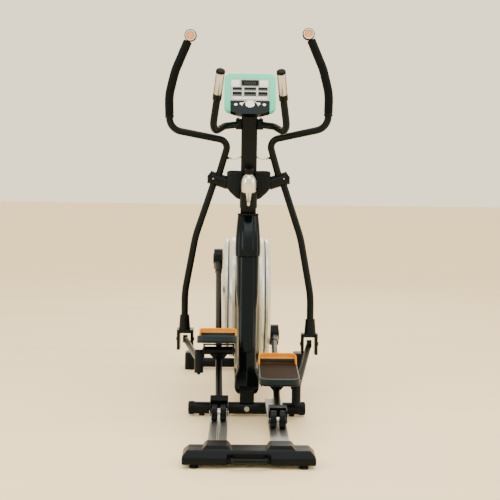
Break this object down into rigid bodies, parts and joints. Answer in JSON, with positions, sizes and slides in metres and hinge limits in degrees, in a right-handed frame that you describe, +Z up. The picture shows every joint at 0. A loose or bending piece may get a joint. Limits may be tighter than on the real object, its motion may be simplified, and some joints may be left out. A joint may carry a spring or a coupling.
{
  "type": "elliptical trainer",
  "caption": "Front-drive elliptical trainer: two pedals on roller arms that slide on floor rails, linked to upright swing handles, with a casing, mast and console.",
  "frame": {"origin": "centre of the bounding box at floor level", "axes": "+Y forward, away from the user and towards the casing; +X to the user's right; +Z up"},
  "size_m": [0.7474, 1.885, 1.6748],
  "materials": {
    "dark_steel": "satin powder coat",
    "black_plastic": "fine moulded grain",
    "slate_plastic": "moulded",
    "rubber": "matte",
    "rail_aluminium": "anodised, drawn",
    "silver_plastic": "silver metallic paint",
    "gloss_black": "polished",
    "cast_iron": "turned rim",
    "bright_steel": "brushed",
    "hub_steel": "satin",
    "bottle_aluminium": "drawn and lacquered",
    "mint_plastic": "glossy",
    "display_glass": "dark display window",
    "white_plastic": "glossy",
    "brown_rubber": "ribbed",
    "orange_plastic": "semi-gloss",
    "foam": "closed-cell foam",
    "peach_plastic": "glossy",
    "pale_cable": "smooth sheath"
  },
  "bodies": {
    "base": {"main_frame": "dark_steel", "front_stabiliser": "dark_steel", "mid_cross_tube": "dark_steel", "rear_stabiliser": "dark_steel", "tube_end_caps": "black_plastic", "floor_feet": "rubber", "rear_cover": "black_plastic", "rear_handle": "black_plastic", "slide_rails": "rail_aluminium", "side_shell_right": "silver_plastic", "side_shell_left": "silver_plastic", "spine_cover": "gloss_black", "mast_boot": "gloss_black", "drive_belt": "rubber", "drive_bearings": "bright_steel", "brake_coil": "dark_steel", "mast": "dark_steel", "pivot_axles": "hub_steel", "yoke_cover": "black_plastic", "bottle_holder": "black_plastic", "hr_handlebar": "dark_steel", "hr_grips": "bright_steel", "hr_clamps": "black_plastic", "console_shell": "mint_plastic", "console_face": "silver_plastic", "console_display": "display_glass", "button_panel": "gloss_black", "signal_cable_left": "pale_cable", "signal_cable_right": "pale_cable"},
    "carriage_left": {"roller_axle_left": "bright_steel"},
    "rollers_left": {"rollers_left": "black_plastic"},
    "arm_left": {"roller_arm_left": "dark_steel"},
    "pedal_left": {"pedal_base_left": "slate_plastic", "tread_mat_left": "brown_rubber", "toe_guard_left": "orange_plastic", "pedal_link_left": "dark_steel"},
    "swing_left": {"swing_arm_left": "dark_steel", "hand_grip_left": "foam"},
    "grip_button_left": {"grip_button_left": "peach_plastic"},
    "carriage_right": {"roller_axle_right": "bright_steel"},
    "rollers_right": {"rollers_right": "black_plastic"},
    "arm_right": {"roller_arm_right": "dark_steel"},
    "pedal_right": {"pedal_base_right": "slate_plastic", "tread_mat_right": "brown_rubber", "toe_guard_right": "orange_plastic", "pedal_link_right": "dark_steel"},
    "swing_right": {"swing_arm_right": "dark_steel", "hand_grip_right": "foam"},
    "grip_button_right": {"grip_button_right": "peach_plastic"},
    "crank": {"cranks": "dark_steel", "crank_discs": "silver_plastic", "drive_pulley": "black_plastic"},
    "flywheel": {"flywheel": "cast_iron"},
    "transport_wheels": {"transport_wheels": "black_plastic"},
    "bottle": {"bottle": "bottle_aluminium"},
    "button_enter": {"button_enter": "white_plastic"},
    "button_up": {"button_up": "white_plastic"},
    "button_down": {"button_down": "white_plastic"},
    "button_start": {"button_start": "white_plastic"},
    "button_mode": {"button_mode": "white_plastic"}
  },
  "joints": [
    {"name": "crank_spin", "type": "hinge", "parent": "base", "child": "crank", "pos_m": [0, 0.643, 0.41], "axis": [1, 0, 0], "continuous": true},
    {"name": "flywheel_spin", "type": "hinge", "parent": "base", "child": "flywheel", "pos_m": [0, 0.783, 0.29], "axis": [1, 0, 0], "continuous": true},
    {"name": "transport_spin", "type": "hinge", "parent": "base", "child": "transport_wheels", "pos_m": [0, 0.913, 0.036], "axis": [1, 0, 0], "continuous": true},
    {"name": "stride", "type": "slide", "parent": "base", "child": "carriage_left", "axis": [0, 1, 0], "range_m": [-0.227, 0.125]},
    {"name": "stride_right", "type": "slide", "parent": "base", "child": "carriage_right", "axis": [0, 1, 0], "range_m": [-0.1251, 0.2271]},
    {"name": "rollers_left_spin", "type": "hinge", "parent": "carriage_left", "child": "rollers_left", "pos_m": [-0.112, -0.502, 0.0978], "axis": [1, 0, 0], "range_deg": [-222, 402]},
    {"name": "rollers_right_spin", "type": "hinge", "parent": "carriage_right", "child": "rollers_right", "pos_m": [0.112, -0.604, 0.0978], "axis": [1, 0, 0], "range_deg": [-402, 222]},
    {"name": "step", "type": "hinge", "parent": "carriage_left", "child": "arm_left", "pos_m": [-0.112, -0.502, 0.0978], "axis": [1, 0, 0], "range_deg": [-18.1, 0]},
    {"name": "step_right", "type": "hinge", "parent": "carriage_right", "child": "arm_right", "pos_m": [0.112, -0.604, 0.0978], "axis": [1, 0, 0], "range_deg": [0, 18.1]},
    {"name": "pedal_left_tilt", "type": "hinge", "parent": "arm_left", "child": "pedal_left", "pos_m": [-0.121, -0.1661, 0.278], "axis": [1, 0, 0], "range_deg": [0, 33.2]},
    {"name": "pedal_right_tilt", "type": "hinge", "parent": "arm_right", "child": "pedal_right", "pos_m": [0.121, -0.2287, 0.1647], "axis": [1, 0, 0], "range_deg": [-33.2, 0]},
    {"name": "swing_left", "type": "hinge", "parent": "base", "child": "swing_left", "pos_m": [-0.1425, 0.203, 1], "axis": [0.9511, 0, -0.309], "range_deg": [-17.2, 9.5], "deforming": ["signal_cable_left"]},
    {"name": "grip_button_left_press", "type": "slide", "parent": "swing_left", "child": "grip_button_left", "axis": [0.0273, 0.9961, 0.084], "range_m": [0, 0.002], "stiffness_N_per_m": 500},
    {"name": "swing_right", "type": "hinge", "parent": "base", "child": "swing_right", "pos_m": [0.1425, 0.203, 1], "axis": [0.9511, 0, 0.309], "range_deg": [-9.5, 17.2], "deforming": ["signal_cable_right"]},
    {"name": "grip_button_right_press", "type": "slide", "parent": "swing_right", "child": "grip_button_right", "axis": [0.0081, 0.9997, -0.0251], "range_m": [0, 0.002], "stiffness_N_per_m": 500},
    {"name": "button_enter_press", "type": "slide", "parent": "base", "child": "button_enter", "axis": [0, 0.9397, -0.342], "range_m": [0, 0.0018], "stiffness_N_per_m": 400},
    {"name": "button_up_press", "type": "slide", "parent": "base", "child": "button_up", "axis": [0, 0.9397, -0.342], "range_m": [0, 0.0018], "stiffness_N_per_m": 400},
    {"name": "button_down_press", "type": "slide", "parent": "base", "child": "button_down", "axis": [0, 0.9397, -0.342], "range_m": [0, 0.0018], "stiffness_N_per_m": 400},
    {"name": "button_start_press", "type": "slide", "parent": "base", "child": "button_start", "axis": [0, 0.9397, -0.342], "range_m": [0, 0.0018], "stiffness_N_per_m": 400},
    {"name": "button_mode_press", "type": "slide", "parent": "base", "child": "button_mode", "axis": [0, 0.9397, -0.342], "range_m": [0, 0.0018], "stiffness_N_per_m": 400},
    {"name": "bottle_lift", "type": "slide", "parent": "base", "child": "bottle", "axis": [0, -0.2419, 0.9703], "range_m": [0, 0.12]}
  ],
  "couplings": [
    {"joint": "flywheel_spin", "follows": "crank_spin", "ratio": 5.6},
    {"joint": "stride_right", "follows": "stride", "ratio": -1},
    {"joint": "rollers_left_spin", "follows": "stride", "rad_per_m": -30.769},
    {"joint": "rollers_right_spin", "follows": "stride", "rad_per_m": 30.769},
    {"joint": "swing_left", "follows": "stride", "rad_per_m": 1.316},
    {"joint": "swing_right", "follows": "stride", "rad_per_m": -1.316},
    {"joint": "step_right", "follows": "step", "ratio": -1},
    {"joint": "pedal_left_tilt", "follows": "step", "ratio": -1.829},
    {"joint": "pedal_right_tilt", "follows": "step", "ratio": 1.829}
  ]
}
